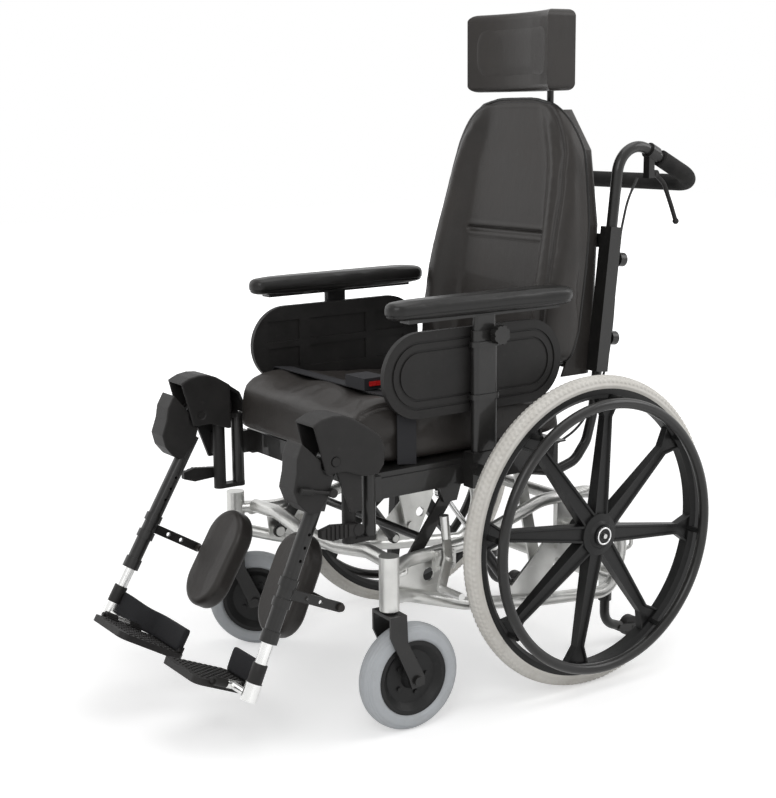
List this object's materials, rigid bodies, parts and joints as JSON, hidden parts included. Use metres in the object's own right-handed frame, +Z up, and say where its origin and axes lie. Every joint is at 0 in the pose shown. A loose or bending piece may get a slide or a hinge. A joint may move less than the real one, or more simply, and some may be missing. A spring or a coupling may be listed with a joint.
{
  "type": "tilt in space wheelchair",
  "caption": "Wheelchair whose seat, back, arm rests and leg rests tilt together on a link frame, with spoked rear wheels, casters, headrest, push bar and elevating leg rests.",
  "frame": {"origin": "on the floor under the middle of the overall box, on the chair's plane of symmetry", "axes": "+Z up, the chair faces -Y, +X towards the user's left"},
  "size_m": [0.736, 1.2372, 1.298],
  "materials": {
    "silver_frame": "satin",
    "black_steel": "satin",
    "grey_tyre": "matt",
    "caster_rubber": "matt",
    "wheel_plastic": "satin",
    "black_plastic": "grained",
    "vinyl": "grained",
    "arm_foam": "fine grained",
    "grip_foam": "foam",
    "webbing": "woven",
    "red_plastic": "gloss",
    "rod_chrome": "polished",
    "steel": "brushed",
    "cable_sheath": "matt",
    "tube_silver": "polished"
  },
  "bodies": {
    "base": {"side_frames": "silver_frame", "cross_tubes": "silver_frame", "anti_tip_tubes": "black_steel"},
    "anti_tip_wheels": {"anti_tip_wheels": "black_plastic"},
    "front_links": {"front_links": "black_steel"},
    "seat": {"seat_frame": "black_steel", "seat_cushion": "vinyl", "back_frame": "black_steel", "back_shell": "vinyl", "back_cushion": "vinyl", "lap_belt": "webbing", "arm_sockets": "black_steel", "side_panels": "black_plastic", "lever_cables": "cable_sheath"},
    "rear_links": {"rear_links": "silver_frame"},
    "spring_cylinders": {"spring_cylinders": "black_steel"},
    "spring_rods": {"spring_rods": "rod_chrome"},
    "belt_button": {"belt_button": "red_plastic"},
    "push_bar": {"push_bar": "black_steel", "push_grip": "grip_foam"},
    "headrest_stem": {"headrest_stem": "black_steel"},
    "headrest_pad": {"headrest_pad": "vinyl"},
    "rear_wheel_left": {"rear_tyre_left": "grey_tyre", "rear_wheel_left": "wheel_plastic", "hand_rim_left": "black_steel"},
    "axle_button_left": {"axle_button_left": "steel"},
    "wheel_lock_left": {"wheel_lock_left": "silver_frame"},
    "caster_fork_left": {"caster_fork_left": "black_steel"},
    "caster_wheel_left": {"caster_wheel_left": "wheel_plastic", "caster_tyre_left": "caster_rubber"},
    "arm_left": {"arm_post_left": "black_steel", "arm_pad_left": "arm_foam"},
    "hand_lever_left": {"hand_lever_left": "black_plastic"},
    "leg_hanger_left": {"leg_hanger_left": "black_plastic"},
    "leg_left": {"leg_tube_left": "black_steel", "leg_cover_left": "black_plastic"},
    "foot_tube_left": {"foot_tube_left": "tube_silver"},
    "foot_plate_left": {"foot_plate_left": "black_plastic"},
    "calf_pad_left": {"calf_pad_left": "vinyl"},
    "release_lever_left": {"release_lever_left": "black_plastic"},
    "latch_handle_left": {"latch_handle_left": "black_plastic"},
    "rear_wheel_right": {"rear_tyre_right": "grey_tyre", "rear_wheel_right": "wheel_plastic", "hand_rim_right": "black_steel"},
    "axle_button_right": {"axle_button_right": "steel"},
    "wheel_lock_right": {"wheel_lock_right": "silver_frame"},
    "caster_fork_right": {"caster_fork_right": "black_steel"},
    "caster_wheel_right": {"caster_wheel_right": "wheel_plastic", "caster_tyre_right": "caster_rubber"},
    "arm_right": {"arm_post_right": "black_steel", "arm_pad_right": "arm_foam"},
    "hand_lever_right": {"hand_lever_right": "black_plastic"},
    "leg_hanger_right": {"leg_hanger_right": "black_plastic"},
    "leg_right": {"leg_tube_right": "black_steel", "leg_cover_right": "black_plastic"},
    "foot_tube_right": {"foot_tube_right": "tube_silver"},
    "foot_plate_right": {"foot_plate_right": "black_plastic"},
    "calf_pad_right": {"calf_pad_right": "vinyl"},
    "release_lever_right": {"release_lever_right": "black_plastic"},
    "latch_handle_right": {"latch_handle_right": "black_plastic"}
  },
  "joints": [
    {"name": "tilt", "type": "hinge", "parent": "base", "child": "front_links", "pos_m": [0, -0.1714, 0.25], "axis": [1, 0, 0], "range_deg": [0, 22.62]},
    {"name": "tilt_seat_pivot", "type": "hinge", "parent": "front_links", "child": "seat", "pos_m": [0, -0.0544, 0.403], "axis": [-1, 0, 0], "range_deg": [0, 42.72]},
    {"name": "tilt_rear_link", "type": "hinge", "parent": "base", "child": "rear_links", "pos_m": [0, 0.1656, 0.204], "axis": [1, 0, 0], "range_deg": [0, 17.53]},
    {"name": "spring_swing", "type": "hinge", "parent": "base", "child": "spring_cylinders", "pos_m": [0, 0.1076, 0.19], "axis": [1, 0, 0], "range_deg": [0, 5.64]},
    {"name": "spring_extend", "type": "slide", "parent": "spring_cylinders", "child": "spring_rods", "axis": [0, -0.6054, 0.7959], "range_m": [0, 0.06998]},
    {"name": "anti_tip_wheel_spin", "type": "hinge", "parent": "base", "child": "anti_tip_wheels", "pos_m": [0, 0.4466, 0.03], "axis": [1, 0, 0], "continuous": true},
    {"name": "belt_button_press", "type": "slide", "parent": "seat", "child": "belt_button", "axis": [-1, 0, 0], "range_m": [0, 0.003], "stiffness_N_per_m": 400},
    {"name": "push_bar_height", "type": "slide", "parent": "seat", "child": "push_bar", "axis": [0, 0.1158, 0.9933], "range_m": [0, 0.1], "deforming": ["lever_cables"]},
    {"name": "headrest_height", "type": "slide", "parent": "seat", "child": "headrest_stem", "axis": [0, 0, 1], "range_m": [0, 0.06]},
    {"name": "headrest_tilt", "type": "hinge", "parent": "headrest_stem", "child": "headrest_pad", "pos_m": [0, 0.3746, 1.19], "axis": [1, 0, 0], "range_deg": [-25, 3]},
    {"name": "rear_wheel_spin_left", "type": "hinge", "parent": "base", "child": "rear_wheel_left", "pos_m": [0.308, 0.2166, 0.305], "axis": [1, 0, 0], "continuous": true},
    {"name": "axle_button_press_left", "type": "slide", "parent": "base", "child": "axle_button_left", "axis": [-1, 0, 0], "range_m": [0, 0.003], "stiffness_N_per_m": 400},
    {"name": "wheel_lock_swing_left", "type": "hinge", "parent": "base", "child": "wheel_lock_left", "pos_m": [0.235, -0.0904, 0.295], "axis": [1, 0, 0], "range_deg": [0, 18]},
    {"name": "caster_swivel_left", "type": "hinge", "parent": "base", "child": "caster_fork_left", "pos_m": [0.279, -0.2364, 0.1], "axis": [0, 0, 1], "continuous": true},
    {"name": "caster_wheel_spin_left", "type": "hinge", "parent": "caster_fork_left", "child": "caster_wheel_left", "pos_m": [0.28104, -0.19745, 0.1], "axis": [0.9986, -0.0523, 0], "continuous": true},
    {"name": "arm_height_left", "type": "slide", "parent": "seat", "child": "arm_left", "axis": [0, 0, 1], "range_m": [0, 0.08]},
    {"name": "hand_lever_squeeze_left", "type": "hinge", "parent": "push_bar", "child": "hand_lever_left", "pos_m": [0.198, 0.4786, 0.976], "axis": [1, 0, 0], "range_deg": [0, 16], "stiffness_Nm_per_rad": 2},
    {"name": "leg_swing_away_left", "type": "hinge", "parent": "seat", "child": "leg_hanger_left", "pos_m": [0.238, -0.2504, 0.5], "axis": [0, 0, 1], "range_deg": [0, 90]},
    {"name": "leg_elevate_left", "type": "hinge", "parent": "leg_hanger_left", "child": "leg_left", "pos_m": [0.238, -0.3424, 0.518], "axis": [-1, 0, 0], "range_deg": [0, 65]},
    {"name": "leg_length_left", "type": "slide", "parent": "leg_left", "child": "foot_tube_left", "axis": [0, -0.4035, -0.915], "range_m": [0, 0.08]},
    {"name": "foot_plate_flip_left", "type": "hinge", "parent": "foot_tube_left", "child": "foot_plate_left", "pos_m": [0.177, -0.50342, 0.11975], "axis": [0, 0.915, -0.4035], "range_deg": [0, 90]},
    {"name": "calf_pad_pivot_left", "type": "hinge", "parent": "leg_left", "child": "calf_pad_left", "pos_m": [0.238, -0.31679, 0.24181], "axis": [1, 0, 0], "range_deg": [0, 20]},
    {"name": "release_lever_press_left", "type": "hinge", "parent": "leg_left", "child": "release_lever_left", "pos_m": [0.274, -0.3494, 0.464], "axis": [1, 0, 0], "range_deg": [0, 15], "stiffness_Nm_per_rad": 0.5},
    {"name": "latch_handle_lift_left", "type": "hinge", "parent": "leg_hanger_left", "child": "latch_handle_left", "pos_m": [0.238, -0.2894, 0.386], "axis": [-1, 0, 0], "range_deg": [0, 15], "stiffness_Nm_per_rad": 1.5},
    {"name": "rear_wheel_spin_right", "type": "hinge", "parent": "base", "child": "rear_wheel_right", "pos_m": [-0.308, 0.2166, 0.305], "axis": [1, 0, 0], "continuous": true},
    {"name": "axle_button_press_right", "type": "slide", "parent": "base", "child": "axle_button_right", "axis": [1, 0, 0], "range_m": [0, 0.003], "stiffness_N_per_m": 400},
    {"name": "wheel_lock_swing_right", "type": "hinge", "parent": "base", "child": "wheel_lock_right", "pos_m": [-0.235, -0.0904, 0.295], "axis": [1, 0, 0], "range_deg": [0, 18]},
    {"name": "caster_swivel_right", "type": "hinge", "parent": "base", "child": "caster_fork_right", "pos_m": [-0.279, -0.2364, 0.1], "axis": [0, 0, 1], "continuous": true},
    {"name": "caster_wheel_spin_right", "type": "hinge", "parent": "caster_fork_right", "child": "caster_wheel_right", "pos_m": [-0.25663, -0.20445, 0.1], "axis": [0.8192, -0.5736, 0], "continuous": true},
    {"name": "arm_height_right", "type": "slide", "parent": "seat", "child": "arm_right", "axis": [0, 0, 1], "range_m": [0, 0.08]},
    {"name": "hand_lever_squeeze_right", "type": "hinge", "parent": "push_bar", "child": "hand_lever_right", "pos_m": [-0.198, 0.4786, 0.976], "axis": [1, 0, 0], "range_deg": [0, 16], "stiffness_Nm_per_rad": 2},
    {"name": "leg_swing_away_right", "type": "hinge", "parent": "seat", "child": "leg_hanger_right", "pos_m": [-0.238, -0.2504, 0.5], "axis": [0, 0, -1], "range_deg": [0, 90]},
    {"name": "leg_elevate_right", "type": "hinge", "parent": "leg_hanger_right", "child": "leg_right", "pos_m": [-0.238, -0.3424, 0.518], "axis": [-1, 0, 0], "range_deg": [-7, 58]},
    {"name": "leg_length_right", "type": "slide", "parent": "leg_right", "child": "foot_tube_right", "axis": [0, -0.512, -0.859], "range_m": [0, 0.08]},
    {"name": "foot_plate_flip_right", "type": "hinge", "parent": "foot_tube_right", "child": "foot_plate_right", "pos_m": [-0.177, -0.55075, 0.14234], "axis": [0, -0.859, 0.512], "range_deg": [0, 90]},
    {"name": "calf_pad_pivot_right", "type": "hinge", "parent": "leg_right", "child": "calf_pad_right", "pos_m": [-0.238, -0.35064, 0.24075], "axis": [1, 0, 0], "range_deg": [0, 20]},
    {"name": "release_lever_press_right", "type": "hinge", "parent": "leg_right", "child": "release_lever_right", "pos_m": [-0.274, -0.35593, 0.46526], "axis": [1, 0, 0], "range_deg": [0, 15], "stiffness_Nm_per_rad": 0.5},
    {"name": "latch_handle_lift_right", "type": "hinge", "parent": "leg_hanger_right", "child": "latch_handle_right", "pos_m": [-0.238, -0.2894, 0.386], "axis": [-1, 0, 0], "range_deg": [0, 15], "stiffness_Nm_per_rad": 1.5}
  ],
  "couplings": [
    {"joint": "tilt_seat_pivot", "follows": "tilt", "ratio": 1.8842},
    {"joint": "tilt_rear_link", "follows": "tilt", "ratio": 0.77073},
    {"joint": "spring_swing", "follows": "tilt", "ratio": 0.245},
    {"joint": "spring_extend", "follows": "tilt", "m_per_rad": 0.176}
  ]
}
